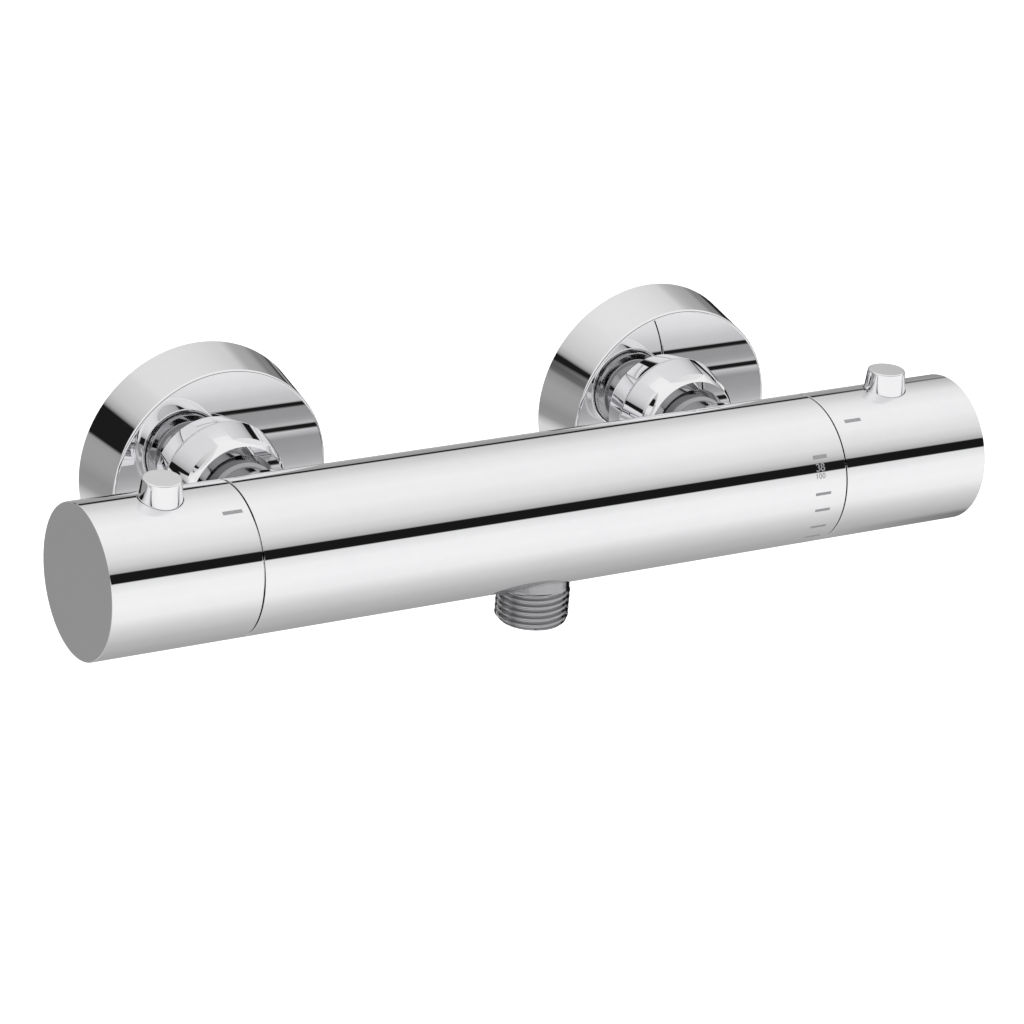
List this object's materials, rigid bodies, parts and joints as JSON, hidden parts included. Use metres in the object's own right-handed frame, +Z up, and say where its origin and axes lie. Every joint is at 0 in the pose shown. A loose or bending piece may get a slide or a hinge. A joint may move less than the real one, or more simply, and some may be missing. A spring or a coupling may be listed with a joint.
{
  "type": "thermostatic shower valve",
  "caption": "Round chromed bar valve for a shower: flow handle at one end, temperature handle with push button at the other, wall unions behind and a hose outlet below.",
  "frame": {"origin": "on the finished wall plane, midway between the two threaded tails that screw into the wall", "axes": "+X along the bar from the hot, flow-handle side to the cold, temperature-handle side; +Y into the wall; +Z up"},
  "size_m": [0.2812, 0.103, 0.0712],
  "materials": {
    "polished_chrome": "mirror-polished chrome plate on brass",
    "brass": "machined brass",
    "steel": "bright stainless steel",
    "rubber": "smooth black rubber",
    "plastic": "dark moulded plastic",
    "ceramic": "lapped aluminium-oxide ceramic"
  },
  "bodies": {
    "valve": {"valve_body": "polished_chrome", "nipple_rings": "rubber", "inlet_strainers": "steel", "union_washers": "rubber", "rosette_seals": "rubber", "outlet_nipple": "polished_chrome", "outlet_seal": "rubber", "headwork_housing": "brass", "fixed_disc": "ceramic", "headwork_seat_seal": "rubber", "flow_stop_ring": "plastic", "cartridge_nut": "brass", "cartridge_housing": "plastic", "hot_seat_sleeve": "plastic", "cartridge_o_rings": "rubber", "return_spring": "steel", "temperature_stop_ring": "plastic", "hot_inlet_nipple": "polished_chrome", "hot_check_housing": "plastic", "hot_check_spring": "steel", "hot_union_nut": "polished_chrome", "hot_rosette": "polished_chrome", "hot_s_union": "brass", "cold_inlet_nipple": "polished_chrome", "cold_check_housing": "plastic", "cold_check_spring": "steel", "cold_union_nut": "polished_chrome", "cold_rosette": "polished_chrome", "cold_s_union": "brass"},
    "flow_knob": {"flow_handle": "polished_chrome", "flow_insert": "plastic", "flow_grub_screw": "steel", "eco_spring": "steel", "headwork_spindle": "brass", "headwork_clip": "steel", "headwork_o_ring": "rubber", "moving_disc": "ceramic"},
    "eco_pin": {"eco_button": "polished_chrome"},
    "temperature_knob": {"temperature_handle": "polished_chrome", "temperature_insert": "plastic", "temperature_grub_screw": "steel", "safety_spring": "steel", "cartridge_spindle": "brass", "cartridge_clip": "steel", "cartridge_spindle_ring": "rubber"},
    "safety_pin": {"safety_button": "polished_chrome"},
    "thermostat": {"shuttle": "plastic", "shuttle_ring": "rubber", "wax_element": "brass", "spring_plunger": "brass", "plunger_ring": "brass", "overload_spring": "steel", "adjusting_slider": "plastic"},
    "hot_check": {"hot_check_poppet": "plastic"},
    "cold_check": {"cold_check_poppet": "plastic"}
  },
  "joints": [
    {"name": "flow_turn", "type": "hinge", "parent": "valve", "child": "flow_knob", "pos_m": [0, -0.0666, 0.0075], "axis": [1, 0, 0], "range_deg": [0, 90]},
    {"name": "eco_button_press", "type": "slide", "parent": "flow_knob", "child": "eco_pin", "axis": [0, 0.061, -0.9981], "range_m": [0, 0.0023], "stiffness_N_per_m": 500, "springref_m": -0.004, "deforming": ["eco_spring"]},
    {"name": "temperature_turn", "type": "hinge", "parent": "valve", "child": "temperature_knob", "pos_m": [0, -0.0666, 0.0075], "axis": [1, 0, 0], "range_deg": [-30, 180]},
    {"name": "safety_button_press", "type": "slide", "parent": "temperature_knob", "child": "safety_pin", "axis": [0, -0.0175, -0.9998], "range_m": [0, 0.0023], "stiffness_N_per_m": 500, "springref_m": -0.004, "deforming": ["safety_spring"]},
    {"name": "thermostat_travel", "type": "slide", "parent": "valve", "child": "thermostat", "axis": [1, 0, 0], "range_m": [-0.00011, 0.00063], "deforming": ["return_spring"]},
    {"name": "hot_check_opening", "type": "slide", "parent": "valve", "child": "hot_check", "axis": [0, -1, 0], "range_m": [0, 0.003], "stiffness_N_per_m": 25, "springref_m": -0.003, "deforming": ["hot_check_spring"]},
    {"name": "cold_check_opening", "type": "slide", "parent": "valve", "child": "cold_check", "axis": [0, -1, 0], "range_m": [0, 0.003], "stiffness_N_per_m": 25, "springref_m": -0.003, "deforming": ["cold_check_spring"]}
  ],
  "couplings": [
    {"joint": "thermostat_travel", "follows": "temperature_turn", "m_per_rad": 0.00019894}
  ]
}
